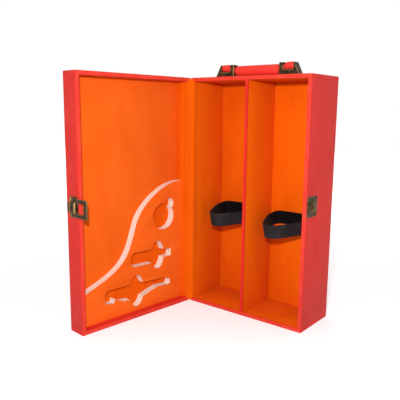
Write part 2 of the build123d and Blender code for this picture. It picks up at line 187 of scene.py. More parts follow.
class Bench:
    """A node tree and the one method that adds to it."""

    def __init__(self, tree):
        self.tree = tree

    def put(self, kind, settings=None, values=(), out=0):
        node = self.tree.nodes.new(kind)
        for name, value in (settings or {}).items():
            setattr(node, name, value)
        pairs = values.items() if isinstance(values, dict) else enumerate(values)
        for key, value in pairs:
            if isinstance(value, Wire):
                self.tree.links.new(value.socket, node.inputs[key])
            else:
                node.inputs[key].default_value = value
        return Wire(self, node.outputs[out]) if len(node.outputs) else node

    def mix(self, factor, first, second):
        """A colour between two others."""
        pair = [c if isinstance(c, Wire) else (*c, 1.0) for c in (first, second)]
        return self.put("ShaderNodeMix", {"data_type": "RGBA"},
                        {0: factor, 6: pair[0], 7: pair[1]}, out=2)

    def carried(self, name, out="Fac"):
        """A value that the mesh itself carries."""
        return self.put("ShaderNodeAttribute", {"attribute_name": name}, out=out)

    def stretch(self, place, scale):
        """Coordinates pulled out or squeezed along each axis."""
        return self.put("ShaderNodeMapping", {}, {"Vector": place, "Scale": scale})

    def cloud(self, place, scale, detail=3.0, rough=0.5):
        return self.put("ShaderNodeTexNoise", {}, {"Vector": place, "Scale": scale,
                                                   "Detail": detail, "Roughness": rough})

    def cells(self, place, scale, feature="F1", **more):
        """A cell pattern: how far a place is from a cell's middle, or from its wall."""
        return self.put("ShaderNodeTexVoronoi", {"feature": feature},
                        {"Vector": place, "Scale": scale, **more})

    def bump(self, height, depth):
        """A bump whose height from 0 to 1 stands for a depth in metres."""
        return self.put("ShaderNodeBump", {}, {"Strength": 1.0, "Distance": depth,
                                               "Height": height})


def srgb(red, green, blue):
    """A colour as a picture writes it, made linear."""
    shares = [c / 255 for c in (red, green, blue)]
    return tuple(c / 12.92 if c <= 0.04045 else ((c + 0.055) / 1.055) ** 2.4 for c in shares)


class Finish(Bench):
    """A material's bench, with its shader and the values that are the same all over."""

    def __init__(self, name, fixed):
        self.material = bpy.data.materials.new(name)
        self.material.use_nodes = True
        super().__init__(self.material.node_tree)
        self.tree.nodes.clear()
        self.shader = self.put("ShaderNodeBsdfPrincipled", {}, fixed)
        self.output = self.put("ShaderNodeOutputMaterial", {}, {"Surface": self.shader})
        self.place = self.put("ShaderNodeTexCoord", out="Object")

    def feed(self, **wires):
        """Lead wires to the shader, base_color=... to Base Color, and give the material."""
        inputs = self.shader.socket.node.inputs
        for name, wire in wires.items():
            self.tree.links.new(wire.socket, inputs[name.replace("_", " ").title()])
        return self.material


print("bench ready")

# %% [markdown]
# The outside is leatherette: cloth with a skin of coral-red plastic, pressed with fine pebbles and
# creases. An image could carry the grain, but a cell pattern does it at any size. Two cell layers
# make pebbles and creases, slow noise makes the sheet a little uneven in tone, and a mask that
# pieces may carry makes edges paler and smoother: partly rubbed wear, partly painted highlight.

# %% Leatherette
def leatherette(name, body_colour, deep_colour, worn_colour, pebble):
    bench = Finish(name, {
        "Specular IOR Level": 0.20, "Coat Weight": 0.03, "Coat Roughness": 0.30})
    place = bench.place
    bent = bench.put("ShaderNodeVectorMath", {"operation": "ADD"}, [
        place, bench.put("ShaderNodeVectorMath", {"operation": "SCALE"}, {
            0: bench.cloud(place, pebble * 0.6).also("Color"), "Scale": 0.5 / pebble})])
    pebbles = bench.cells(bent, pebble, "SMOOTH_F1", Smoothness=0.35)
    crease = bench.cells(bent, pebble * 0.92, "DISTANCE_TO_EDGE").between(0.0, 0.22)
    slow = bench.cloud(place, 11.0, 2.0)
    patch = bench.cloud(place, 70.0, 4.0)
    # Edges that carry the mask turn paler and smoother: partly rubbed wear, partly painted highlight on
    # folds and rims.
    rubbed_and_highlight = bench.carried("worn") * (0.35 + 0.65 * patch.between(0.35, 0.65))
    # Tone drifts at random, and the creases between the pebbles are painted a little darker: painted shade.
    tone_and_crease_shade = (0.52 * slow.between(0.3, 0.7) + 0.36 * patch.between(0.3, 0.7)
             + 0.12 * (1 - crease))
    colour = bench.mix(tone_and_crease_shade * 0.75, body_colour, deep_colour)
    colour = bench.mix(rubbed_and_highlight * 0.55, colour, worn_colour)
    return bench.feed(
        base_color=colour, roughness=0.56 - 0.14 * rubbed_and_highlight + 0.10 * patch - 0.05 * crease,
        normal=bench.bump(crease * 0.35 + (1 - pebbles) * 0.5 + slow * 0.8, 0.00015))


red_leatherette = leatherette("red_leatherette", srgb(220, 46, 34), srgb(200, 32, 24),
                              srgb(252, 104, 76), 1150.0)
print("leatherette:", len(red_leatherette.node_tree.nodes), "nodes")

# %% [markdown]
# The inside is lined with orange velvet. Its pile leans one way or the other where a hand or a
# bottle has brushed it, so the tone drifts in broad soft strokes. Hair could show each fibre, but
# nobody sees one at this distance. Long noise makes the strokes, very fine noise makes the pile,
# and the shader's own sheen gives the pale edge that cloth has when seen at a slant.

# %% Velvet
def velvet(name, lit, brushed, stroke, recess_shade=()):
    bench = Finish(name, {
        "Specular IOR Level": 0.08, "Sheen Weight": 0.10, "Sheen Roughness": 0.45,
        "Sheen Tint": (*srgb(255, 150, 60), 1.0)})
    place = bench.place
    strokes = bench.cloud(bench.stretch(place, stroke), 26.0, 4.0, 0.55)
    drift = bench.cloud(place, 7.0, 2.0)
    pile = bench.cloud(place, 2600.0, 2.0)
    tufts = bench.cloud(place, 700.0, 2.0)
    lean = (0.45 * strokes.between(0.36, 0.66) + 0.25 * drift.between(0.35, 0.65)
            + 0.30 * tufts.between(0.3, 0.7))
    colour = bench.mix(lean, lit, brushed)
    # Where the foam's recesses open, the velvet is painted a deeper orange: painted shade in the recesses.
    for middle, reach in recess_shade:
        away = bench.put("ShaderNodeVectorMath", {"operation": "DISTANCE"}, [place, middle],
                         out="Value")
        colour = bench.mix(1 - away.between(reach - 0.003, reach), colour,
                           bench.mix(lean, srgb(236, 95, 6), srgb(221, 81, 1)))
    return bench.feed(base_color=colour, roughness=0.86 + 0.10 * lean,
                      normal=bench.bump(0.5 * pile + 0.5 * tufts, 0.00016))


# One velvet in two copies: the deeper one with almost no blue is painted shade, for the bays, the lid's
# sides and the hinge strip; the lighter, yellower one is painted light, for the lid's face.
orange_velvet = velvet("orange_velvet", srgb(232, 100, 3), srgb(216, 84, 0), (1.0, 1.0, 0.34))
# Places on the lid's face where the foam's recesses open, and how far the painted recess shade reaches round
# each.
recess_shade_spots = [(in_lid @ mm(x, -LID_DEPTH * 1000 + 4, z), reach / 1000)
              for x, z, reach in ((44, 142, 30), (68, 84, 42), (62, 36, 40), (118, 36, 39))]
lid_velvet = velvet("lid_velvet", srgb(234, 101, 25), srgb(219, 87, 15), (1.0, 1.0, 0.34),
                    recess_shade_spots)
panel_velvet = velvet("panel_velvet", srgb(241, 104, 28), srgb(226, 88, 18), (1.0, 0.5, 1.0))
print("velvet:", len(orange_velvet.node_tree.nodes), "nodes")

# %% [markdown]
# The tool panel is pale foam that shows only where it is cut. Foam is all small bubbles, so two
# sizes of cell pattern stand for cut bubbles, darker inside than at their walls: painted shade in
# the pores. The boards under the covers are pressed fibre: flecked brown-grey, with short fibres
# drawn out along the sheet.

# %% Foam and fibreboard
def cut_foam():
    bench = Finish("pale_foam", {"Specular IOR Level": 0.2})
    place = bench.place
    pore_relief_and_shade = (0.6 * bench.cells(place, 1500.0).between(0.15, 0.7)
                 + 0.4 * bench.cells(place, 640.0).between(0.2, 0.75))
    stain = bench.cloud(place, 60.0)
    # Darker inside the cut bubbles: painted shade.
    colour = bench.mix(pore_relief_and_shade * 0.40, srgb(246, 236, 224), srgb(226, 198, 176))
    colour = bench.mix(stain.between(0.45, 0.8) * 0.25, colour, srgb(240, 198, 160))
    return bench.feed(base_color=colour, roughness=0.92 - 0.1 * pore_relief_and_shade,
                      normal=bench.bump(pore_relief_and_shade, 0.0003))


def pressed_fibre():
    bench = Finish("fibreboard", {"Specular IOR Level": 0.2})
    fibres = bench.cloud(bench.stretch(bench.place, (1.0, 1.0, 0.15)), 900.0, 5.0, 0.7)
    flecks = bench.cloud(bench.place, 240.0)
    colour = bench.mix(fibres.between(0.3, 0.7), srgb(122, 98, 72), srgb(164, 138, 106))
    colour = bench.mix(flecks.between(0.62, 0.72) * 0.6, colour, srgb(78, 60, 44))
    return bench.feed(base_color=colour, roughness=0.78 + 0.15 * fibres,
                      normal=bench.bump(fibres, 0.0002))


pale_foam = cut_foam()
fibreboard = pressed_fibre()
print("foam:", len(pale_foam.node_tree.nodes), "nodes")

# %% [markdown]
# The latch, the catch and the handle's brackets are steel plated in antique brass: dark in the
# hollows, where the plating was left brown, and bright on edges that were buffed or rubbed. The
# bright edges follow the same mask as the covers, broken up by noise, so they are partly wear and
# partly painted highlight; small pits dull it elsewhere.

# %% Antique brass
def antique_metal():
    bench = Finish("antique_brass", {"Specular IOR Level": 0.15})
    mottle = bench.cloud(bench.place, 170.0, 5.0, 0.66)
    smear = bench.cloud(bench.stretch(bench.place, (1.0, 1.0, 0.3)), 160.0)
    pits = bench.cells(bench.place, 1300.0)
    buffed_and_highlight = bench.carried("worn") * (0.4 + 0.6 * mottle.between(0.35, 0.6))
    colour = bench.mix(mottle.between(0.38, 0.62), srgb(24, 15, 8), srgb(100, 74, 44))
    colour = bench.mix(smear.between(0.5, 0.75) * 0.6, colour, srgb(24, 15, 9))
    # Pale brass on masked edges: partly buffed wear, partly painted edge highlight.
    colour = bench.mix(buffed_and_highlight * 0.75, colour, srgb(176, 140, 88))
    metal = buffed_and_highlight.math("MAXIMUM", buffed_and_highlight, mottle.between(0.40, 0.60))
    return bench.feed(base_color=colour, metallic=0.25 + 0.75 * metal,
                      roughness=0.42 + 0.16 * mottle - 0.16 * buffed_and_highlight,
                      normal=bench.bump(mottle * 0.6 + pits * 0.4, 0.00006))


antique_brass = antique_metal()
print("brass:", len(antique_brass.node_tree.nodes), "nodes")

# %% [markdown]
# The bottle straps are black webbing, woven in ribs that run along the strap. The weave follows
# the strap round its loop, so it reads a map that the strap carries: metres along it and across
# it. Sines of those two numbers make ribs crossed by finer picks, and fluff breaks them up.

# %% Black webbing
def woven_black():
    bench = Finish("black_webbing", {
        "Specular IOR Level": 0.09, "Sheen Weight": 0.03, "Sheen Roughness": 0.4})
    along = bench.put("ShaderNodeSeparateXYZ", {}, [bench.carried("weave", "Vector")])
    across = along.also("Y")
    ribs = 0.5 + 0.5 * (across * (math.tau / 0.00150)).sine()
    inside = along.also("Z").between(-0.0003, 0.0003)
    picks = 0.5 + 0.5 * (along * (math.tau / 0.00085)
                         + (across * (math.tau / 0.0030)).sine()).sine()
    fluff = bench.cloud(bench.place, 520.0, 4.0, 0.65)
    patch = bench.cloud(bench.place, 70.0, 2.0)
    height = 0.6 * ribs + 0.3 * picks + 0.2 * fluff
    # The raised ribs and picks are painted lighter and the grooves between them darker: painted shade in the
    # weave.
    colour = bench.mix(height * 0.45 + patch.between(0.4, 0.7) * 0.25
                       + fluff.between(0.45, 0.7) * 0.35, srgb(7, 6, 7), srgb(60, 56, 59))
    # The inner face of the loop is painted near black: painted shade.
    colour = bench.mix(1 - inside, srgb(5, 3, 4), colour)
    return bench.feed(base_color=colour, roughness=0.62 + 0.2 * fluff - 0.1 * ribs,
                      normal=bench.bump(height, 0.00030))


black_webbing = woven_black()
print("webbing:", len(black_webbing.node_tree.nodes), "nodes")

# %% [markdown]
# The handle is rolled from the same red sheet, but it is rubbed by hands, so its grain is finer
# and its finish a little glossier. Its thread is waxed and slightly darker than the leatherette.

# %% Handle leatherette and thread
handle_leather = leatherette("handle_leather", srgb(244, 62, 48), srgb(226, 48, 38),
                             srgb(255, 110, 84), 1350.0)


def waxed_thread():
    bench = Finish("waxed_thread", {"Specular IOR Level": 0.4})
    twist = bench.cloud(bench.place, 2400.0, 2.0)
    colour = bench.mix(twist, srgb(150, 30, 30), srgb(196, 56, 48))
    return bench.feed(base_color=colour, roughness=0.5 + 0.2 * twist,
                      normal=bench.bump(twist, 0.00008))


red_thread = waxed_thread()
print("handle finish:", handle_leather.name, red_thread.name)

# %% [markdown]
# The rigid sub-parts whose shape is already right only need their finish. The table says which
# words in a name mean which finish, so that a new board or lining finds its own.

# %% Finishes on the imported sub-parts
FINISH_BY_WORD = {"board": fibreboard, "cover": red_leatherette, "edging": red_leatherette,
                  "lining": orange_velvet, "skin": red_leatherette, "foam": pale_foam,
                  "velvet": panel_velvet, "strap": black_webbing, "neck": handle_leather,
                  "roll": handle_leather, "grip": handle_leather}
for name, node in frame["nodes"].items():
    chosen = FINISH_BY_WORD.get(name.split("_")[-1], antique_brass)
    # The lid's face takes the lit copy of the velvet; the other linings take the shaded copy.
    if name == "lid_front_lining":
        chosen = lid_velvet
    for place in node.material_slots:
        place.material = chosen
    if not node.material_slots:
        node.data.materials.append(chosen)
print("dressed", len(frame["nodes"]), "sub-parts")

# %% [markdown]
# Covers and metal parts never have knife-sharp edges. A Bevel modifier would round every edge the
# same, even the hidden ones, so a welded copy of the part is rounded only along chosen edges. The
# rounded faces also get a mask that the finishes read, partly for wear and partly for painted highlight.

# %% Welded copies with rounded edges
def welded(node):
    """A CAD sub-part's mesh as one closed, welded shape with its flat faces whole."""
    source = frame["nodes"][node].data
    mesh = bpy.data.meshes.new(node)
    mesh.from_pydata([v.co[:] for v in source.vertices], [],
                     [face.vertices[:] for face in source.polygons])
    shape = bmesh.new()
    shape.from_mesh(mesh)
    bpy.data.meshes.remove(mesh)
    bmesh.ops.remove_doubles(shape, verts=shape.verts, dist=2e-6)
    bmesh.ops.dissolve_limit(shape, angle_limit=math.radians(0.4), verts=shape.verts,
                             edges=shape.edges)
    return shape


def sharp_edges(shape, angle=38.0, where=None):
    """Outward edges that turn more than an angle, and whose middle passes a test."""
    found = []
    for edge in shape.edges:
        if len(edge.link_faces) == 2 and edge.is_convex:
            middle = (edge.verts[0].co + edge.verts[1].co) / 2
            if edge.calc_face_angle() > math.radians(angle) and (not where or where(middle)):
                found.append(edge)
    return found


def round_off(shape, edges, size, steps=2, wear_and_highlight=1.0, rim_wear_and_highlight=0.0):
    """Round the edges and give them the mask of wear and painted highlight; a second level is the mask where
    a rounding ends.
    """
    mask = shape.verts.layers.float.get("worn") or shape.verts.layers.float.new("worn")
    made = bmesh.ops.bevel(shape, geom=edges, offset=size, offset_type="OFFSET",
                           segments=steps, profile=0.5, affect="EDGES", clamp_overlap=True)
    fresh = set(made["faces"])
    for vertex in {v for face in fresh for v in face.verts}:
        inside = all(face in fresh for face in vertex.link_faces)
        vertex[mask] = max(vertex[mask], wear_and_highlight if inside else rim_wear_and_highlight)


def flat_regions(shape, least_area):
    """Groups of touching faces that lie in one plane and are large enough to see."""
    seen, regions = set(), []
    for start in shape.faces:
        if start in seen:
            continue
        region, queue = [], [start]
        seen.add(start)
        while queue:
            face = queue.pop()
            region.append(face)
            for near in {n for edge in face.edges for n in edge.link_faces} - seen:
                if near.normal.dot(face.normal) > 0.9999:
                    seen.add(near)
                    queue.append(near)
        if sum(face.calc_area() for face in region) > least_area:
            regions.append(region)
    return regions


def band_room(region):
    """The narrowest width between two facing borders of a flat region."""
    borders = []
    for face in region:
        for loop in face.loops:
            if any(other not in region for other in loop.edge.link_faces):
                start, end = loop.vert.co, loop.link_loop_next.vert.co
                inward = face.normal.cross(end - start).normalized()
                borders.append(((start + end) / 2, inward, start, end))
    room = 1.0
    for middle, inward, _, _ in borders:
        for other, facing, start, end in borders:
            if inward.dot(facing) < -0.7 and (other - middle).dot(inward) > 1e-6:
                near, share = intersect_point_line(middle, start, end)
                near = start.lerp(end, min(max(share, 0.0), 1.0))
                across = near - middle
                if abs(across.dot(inward)) > 0.8 * across.length:
                    room = min(room, across.length)
    return room


def fade_wear_and_highlight(shape, distance, least_area):
    """Let the wear and painted highlight fade over a narrow band on every large flat face that has room for
    it.
    """
    mask = shape.verts.layers.float["worn"]
    shape.normal_update()
    for region in flat_regions(shape, least_area):
        corners = {v for face in region for v in face.verts}
        if max(v[mask] for v in corners) == 0.0:
            continue
        band = min(distance, 0.3 * band_room(region))
        if band > 0.00012:
            bmesh.ops.inset_region(shape, faces=region, thickness=band, use_boundary=True,
                                   use_even_offset=True)
            corners = {v for face in region for v in face.verts}
        for vertex in corners:
            vertex[mask] = 0.0


def add_piece(name, mesh, finish, body=None, replaces=()):
    """Put a finished mesh in the scene as a piece of the box."""
    if isinstance(mesh, bmesh.types.BMesh):
        shape, mesh = mesh, bpy.data.meshes.new(name)
        shape.to_mesh(mesh)
        shape.free()
    mesh.shade_smooth()
    mesh.set_sharp_from_angle(angle=math.radians(40))
    mesh.materials.clear()
    mesh.materials.append(finish)
    piece = bpy.data.objects.new(name, mesh)
    scene.collection.objects.link(piece)
    if replaces:
        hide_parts(*replaces)
    if body:
        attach(piece, body)
    return piece


print("helpers for rounded copies ready")

# %% [markdown]
# The covers are sheets folded round the boards, so their folds are soft. A fold on the outside
# gets a large rounding and looks padded. The inner side of a rim gets a smaller one, because the
# sheet is thin there. Where a sheet ends on the seam a very small one draws the thin shadow line
# near both ends of the box. The two corners at the hinge stay sharp, because they touch.

# %% Softly folded covers
SEAM = 0.0055
DEPTH = {"base": BASE_DEPTH, "lid": LID_DEPTH}
RIM = {"base": 0.0, "lid": 0.0003}
HINGE_CORNER, NEAR_SIDE, TOUCHING, ON_SEAM = 1e-3, 4e-4, 1e-4, 2e-5
FOLD_ANGLE = 60.0


def hinge_place(point, half):
    """A point of the scene in the hinge's own frame, for either half."""
    return (in_base if half == "base" else in_lid).inverted() @ point


def at_seam(p):
    return min(abs(p.z - SEAM), abs(p.z - HEIGHT + SEAM)) < ON_SEAM


def fold_test(half, outer):
    """A test for fold edges away from the seams: outside ones, or those inside the rim."""
    def test(point):
        p = hinge_place(point, half)
        into = abs(p.y)
        if at_seam(p) or p.x < HINGE_CORNER and into < HINGE_CORNER:
            return False
        if min(abs(p.x), abs(p.x - WIDTH), p.z, HEIGHT - p.z) < TOUCHING:
            return outer
        return not outer and abs(into - RIM[half]) < TOUCHING
    return test


def on_seam(half):
    """A test for the edges where one sheet ends beside another."""
    def test(point):
        p = hinge_place(point, half)
        into = abs(p.y)
        to_side = min(abs(p.x), abs(p.x - WIDTH), into, abs(into - DEPTH[half]))
        return at_seam(p) and to_side < NEAR_SIDE
    return test


def paint_rim_highlight(shape, half, least):
    """Paint the whole rim a little paler: painted highlight."""
    mask = shape.verts.layers.float["worn"]
    for vertex in shape.verts:
        if abs(abs(hinge_place(vertex.co, half).y) - RIM[half]) < TOUCHING:
            vertex[mask] = max(vertex[mask], least)


for half in ("base", "lid"):
    for part in ("wrap_cover", "top_cover", "bottom_cover"):
        node = f"{half}_{part}"
        shape = welded(node)
        for test, size, steps, wear_and_highlight in ((on_seam(half), 0.0004, 2, 0.3),
                                        (fold_test(half, outer=False), 0.0005, 3, 0.3),
                                        (fold_test(half, outer=True), 0.0015, 4, 1.0)):
            round_off(shape, sharp_edges(shape, FOLD_ANGLE, test), size, steps, wear_and_highlight)
        # Every rim is painted a little paler as well: painted highlight.
        paint_rim_highlight(shape, half, 0.5)
        add_piece(node + "_folded", shape, red_leatherette, half, [node])
edging = welded("divider_edging")
round_off(edging, sharp_edges(edging, FOLD_ANGLE, lambda p: 0.01 < p.z < 0.3), 0.0001, 1)
add_piece("divider_edging_folded", edging, red_leatherette, "base",
          ["divider_edging"])
print("covers folded")

# %% [markdown]
# Each lining is a sheet of card with velvet glued over it, pushed in beside the next one. The
# sheets could stay as sharp slabs, but a small rounding at their edges opens the narrow dark
# groove that is seen wherever two linings meet.

# %% Linings with rounded edges
for node, packed in frame["nodes"].items():
    if node.endswith("_lining") and node != "hinge_lining":
        body = body_of(packed)[0]
        sheet = welded(node)
        round_off(sheet, sharp_edges(sheet, FOLD_ANGLE), 0.0003, 2, 0.0)
        add_piece(node + "_covered", sheet, packed.active_material, body, [node])
        print(node, "covered,", len(packed.data.polygons), "faces before")

# %% [markdown]
# At the hinge two layers bend: the leatherette skin outside and a velvet strip inside. Each is
# drawn as a section across the hinge and pulled up the whole height, with enough points round the
# axis to bend well. The velvet strip runs on as a thin tab over the ends of both rims, nearly to
# the box's corners.

# %% Bending layers of the hinge
def turned(x, y):
    """A place on the lid's side of the section, in millimetres, with the lid open."""
    cos, sin = math.cos(OPEN_TURN), math.sin(OPEN_TURN)
    return x * cos - y * sin, x * sin + y * cos


def arc(radius, start, stop, steps):
    """Places on an arc round the hinge axis, in millimetres and degrees."""
    angles = [math.radians(start + (stop - start) * i / steps) for i in range(steps + 1)]
    return [(radius * math.cos(a), radius * math.sin(a)) for a in angles]


def skinned(rings):
    """A closed shape over rings of places, each joined to the next."""
    shape = bmesh.new()
    rings = [[shape.verts.new(place) for place in ring] for ring in rings]
    for first, second in zip(rings, rings[1:]):
        for i in range(len(first)):
            j = (i + 1) % len(first)
            shape.faces.new((first[i], first[j], second[j], second[i]))
    shape.faces.new(list(reversed(rings[0])))
    shape.faces.new(rings[-1])
    bmesh.ops.recalc_face_normals(shape, faces=shape.faces)
    return shape


def pulled_up(levels, section, end_section=None):
    """A closed section pulled up through levels; the end levels may have one of their own."""
    return skinned([[in_base @ mm(x, y, z * 1000) for x, y in (
        section if not end_section or SEAM < z < HEIGHT - SEAM else end_section)]
        for z in levels])


AXIS = in_base @ Vector((0, 0, 0))
to_lid = Vector((-1, -1, 0)).normalized() * 0.0005
skin_section = ([(0.0, 12.0), (0.0, 6.0), (0.0, 1.0), (0.0, 0.0)]
                + [turned(0.0, y) for y in (-1.0, -6.0, -12.0)]
                + [turned(0.8, y) for y in (-12.0, -6.0, -1.0)]
                + arc(0.8, -95.65, 0, 8) + [(0.8, 1.0), (0.8, 6.0), (0.8, 12.0)])
skin_levels = [SEAM + (HEIGHT - 2 * SEAM) * i / 30 for i in range(31)]
skin = add_piece("hinge_skin_bending", pulled_up(skin_levels, skin_section),
                 red_leatherette, None, ["hinge_skin"])
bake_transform(skin, "base", "lid", start=AXIS - to_lid, end=AXIS + to_lid)


def strip_outline(flange, face):
    """The strip's section: how far its flanges reach in, and how high its face stands."""
    near = [(5.5, flange), (5.5, 0.4 * flange), (5.5, 0.6), (5.32, 0.18), (4.9, face), (3.0, face)]
    bend = arc(1.3, -4, -91.65, 8)
    far = [turned(x, -y) for x, y in reversed(near)]
    back = [turned(4.8, -flange), turned(4.8, -1.1), turned(0.8, -1.1)]
    return near + bend + far + back + arc(0.8, -95.65, 0, 8) + [(0.8, 0.8), (4.8, 0.8),
                                                                (4.8, flange)]


TAB = 0.0042
strip_levels = ([SEAM - TAB, SEAM - 0.0001, SEAM + 0.0001] + skin_levels[1:-1]
                + [HEIGHT - SEAM - 0.0001, HEIGHT - SEAM + 0.0001, HEIGHT - SEAM + TAB])
strip = add_piece("hinge_lining_bending",
                  pulled_up(strip_levels, strip_outline(10.0, 0.0), strip_outline(1.1, -0.1)),
                  orange_velvet, None, ["hinge_lining"])
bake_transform(strip, "base", "lid", start=AXIS - to_lid, end=AXIS + to_lid)
print("hinge layers:", len(skin.data.vertices), "and", len(strip.data.vertices), "points")

# %% [markdown]
# The tool panel is a block of foam with velvet on its face, and the knife has left its walls a
# little uneven. The outline comes from the sub-part, because the recesses must stay where they
# are. The walls are cut into thin bands and pushed in by noise, never out, so that the block
# stays clear of the lid round it.

# %% Foam block with cut walls
LID_OUT = (in_lid.to_3x3() @ Vector((0, -1, 0))).normalized()


def cut_block(node, rounding, bands=0, unevenness=0.0):
    """A layer of the panel with a rounded front edge and uneven cut walls."""
    shape = welded(node)
    front = min(v.co.dot(LID_OUT) for v in shape.verts)
    rim = sharp_edges(shape, FOLD_ANGLE, lambda p: p.dot(LID_OUT) < front + 1e-5)
    round_off(shape, rim, rounding, 3)
    if bands:
        upright = [e for e in shape.edges
                   if abs((e.verts[0].co - e.verts[1].co).dot(LID_OUT)) > 0.006]
        bmesh.ops.subdivide_edges(shape, edges=upright, cuts=bands)
        shape.normal_update()
        heights = [v.co.dot(LID_OUT) for v in shape.verts]
        low, high = min(heights) + TOUCHING, max(heights) - TOUCHING
        for v in shape.verts:
            if low < v.co.dot(LID_OUT) < high:
                v.co -= v.normal * unevenness * (0.5 + 0.5 * noise.noise(v.co * 260))
    return shape


block = cut_block("tool_foam", rounding=0.0001, bands=7, unevenness=0.0005)
foam = add_piece("tool_foam_cut", block, pale_foam, "lid", ["tool_foam"])
add_piece("tool_velvet_face", cut_block("tool_velvet", rounding=0.0003), panel_velvet,
          "lid", ["tool_velvet"])
print("foam block:", len(foam.data.vertices), "points")

# %% [markdown]
# Each bay has a loop of webbing that keeps a bottle's neck upright. It leaves the back lining,
# runs forward, droops under its own weight and comes back. A band swept along a path is a job for
# Geometry Nodes: the path is drawn once, and thickness and height are named inputs. The tree also
# stores how far along and across each point is, for the weave.

# %% A tree that sweeps a band along a path
def new_tree(name, inputs):
    """A tree with its geometry sockets and its named inputs with their first values."""
    tree = bpy.data.node_groups.new(name, "GeometryNodeTree")
    tree.interface.new_socket("Geometry", in_out="INPUT", socket_type="NodeSocketGeometry")
    for name, kind, value in inputs:
        socket = tree.interface.new_socket(name, in_out="INPUT", socket_type="NodeSocket" + kind)
        if value is not None:
            socket.default_value = value
    tree.interface.new_socket("Geometry", in_out="OUTPUT", socket_type="NodeSocketGeometry")
    bench = Bench(tree)
    return bench, bench.put("NodeGroupInput", out="Geometry")


def finish_tree(bench, geometry, finish_input):
    """The last two steps of every tree: real geometry, then its material."""
    real = bench.put("GeometryNodeRealizeInstances", {}, [geometry])
    coated = bench.put("GeometryNodeSetMaterial", {}, {"Geometry": real,
                                                       "Material": finish_input})
    end = bench.tree.nodes.new("NodeGroupOutput")
    bench.tree.links.new(coated.socket, end.inputs["Geometry"])
    return bench.tree


def band_tree():
    bench, path = new_tree("band_along_a_path", [
        ("Thickness", "Float", 0.0013), ("Height", "Float", 0.0195),
        ("Edge Rounding", "Float", 0.0005), ("Finish", "Material", None)])
    curve = bench.put("GeometryNodeMeshToCurve", {}, [path])
    facing = bench.put("GeometryNodeSetCurveNormal", {"mode": "Z_UP"}, {"Curve": curve})
    length = bench.put("GeometryNodeSplineParameter", out="Length")
    marked = bench.put("GeometryNodeStoreNamedAttribute", {"data_type": "FLOAT"},
                       {"Geometry": facing, "Name": "along", "Value": length})
    profile = bench.put("GeometryNodeCurvePrimitiveQuadrilateral", {},
                        {"Width": path.also("Thickness"), "Height": path.also("Height")})
    finer = bench.put("GeometryNodeResampleCurve", {"mode": "LENGTH"},
                      {"Curve": bench.put("GeometryNodeFilletCurve", {"mode": "POLY"}, {
                          "Curve": profile, "Radius": path.also("Edge Rounding"), "Count": 2}),
                       "Length": 0.0006})
    shape_up = bench.put("GeometryNodeInputPosition")
    rimmed = bench.put("GeometryNodeStoreNamedAttribute", {"data_type": "FLOAT_VECTOR"},
                       {"Geometry": finer, "Name": "profile", "Value": shape_up})
    swept = bench.put("GeometryNodeCurveToMesh", {},
                      {"Curve": marked, "Profile Curve": rimmed, "Fill Caps": True})
    along = bench.put("GeometryNodeInputNamedAttribute", {"data_type": "FLOAT"},
                      {"Name": "along"})
    place = bench.put("ShaderNodeSeparateXYZ", {}, [bench.put(
        "GeometryNodeInputNamedAttribute", {"data_type": "FLOAT_VECTOR"}, {"Name": "profile"})])
    weave = bench.put("ShaderNodeCombineXYZ", {}, [along, place.also("Y"), place])
    mapped = bench.put("GeometryNodeStoreNamedAttribute", {"data_type": "FLOAT_VECTOR"},
                       {"Geometry": swept, "Name": "weave", "Value": weave})
    return finish_tree(bench, mapped, path.also("Finish"))


def grown(name, start_mesh, tree, **inputs):
    """The plain mesh that a tree makes from a start mesh, with its named inputs set."""
    seed = bpy.data.objects.new(name + "_start", start_mesh)
    scene.collection.objects.link(seed)
    modifier = seed.modifiers.new("make", "NODES")
    modifier.node_group = tree
    for item in tree.interface.items_tree:
        key = item.name.lower().replace(" ", "_")
        if item.item_type == "SOCKET" and item.in_out == "INPUT" and key in inputs:
            modifier[item.identifier] = inputs[key]
    evaluated = seed.evaluated_get(bpy.context.evaluated_depsgraph_get())
    mesh = bpy.data.meshes.new_from_object(evaluated)
    mesh.name = name
    bpy.data.objects.remove(seed)
    return mesh


def chain(name, points):
    """A mesh of points joined one after another."""
    mesh = bpy.data.meshes.new(name)
    mesh.from_pydata([tuple(p) for p in points], [(i - 1, i) for i in range(1, len(points))], [])
    return mesh


band = band_tree()
print("band tree:", len(band.nodes), "nodes")

# %% [markdown]
# The path of a strap is a lopsided ring seen from above: flat at the back, round in front. It is
# kept as a table of corners and radii, like the sub-part, and a small helper rounds any such
# table. The path starts and ends at the slit, where both tails lie side by side. Afterwards the
# lower edge is drawn in a little, because webbing on edge leans outwards at its top.

# %% Bottle straps
STRAP_ACROSS, STRAP_REACH, STRAP_THICK, STRAP_HIGH = 70.0, 69.5, 1.3, 20.0
STRAP_BACK, STRAP_DROOP, STRAP_SEAM, STRAP_LEAN = 74.5, 9.0, 0.36, 3.2
STRAP_CORNERS = [(0.918, 0, 0.19), (1, 0.439, 0.342), (0.507, 1, 0.247), (0.233, 1, 0.22),
                 (0, 0.381, 0.82), (0.014, 0, 0.15)]


def rounded_path(corners, inset, turn_step=9.0):
    """Points along a ring of corners (x, y, radius), each rounded, drawn in by an inset."""
    points = []
    for i, (x, y, radius) in enumerate(corners):
        here = Vector((x, y))
        back = (Vector(corners[i - 1][:2]) - here).normalized()
        ahead = (Vector(corners[(i + 1) % len(corners)][:2]) - here).normalized()
        half_angle = back.angle(ahead) / 2
        centre = here + (back + ahead).normalized() * radius / math.sin(half_angle)
        first = here + back * radius / math.tan(half_angle) - centre
        last = here + ahead * radius / math.tan(half_angle) - centre
        sweep = first.angle_signed(last)
        steps = max(2, round(math.degrees(abs(sweep)) / turn_step))
        for step in range(steps + 1):
            turn = Matrix.Rotation(-sweep * step / steps, 2)
            points.append(centre + turn @ first * (radius - inset) / radius)
    return points


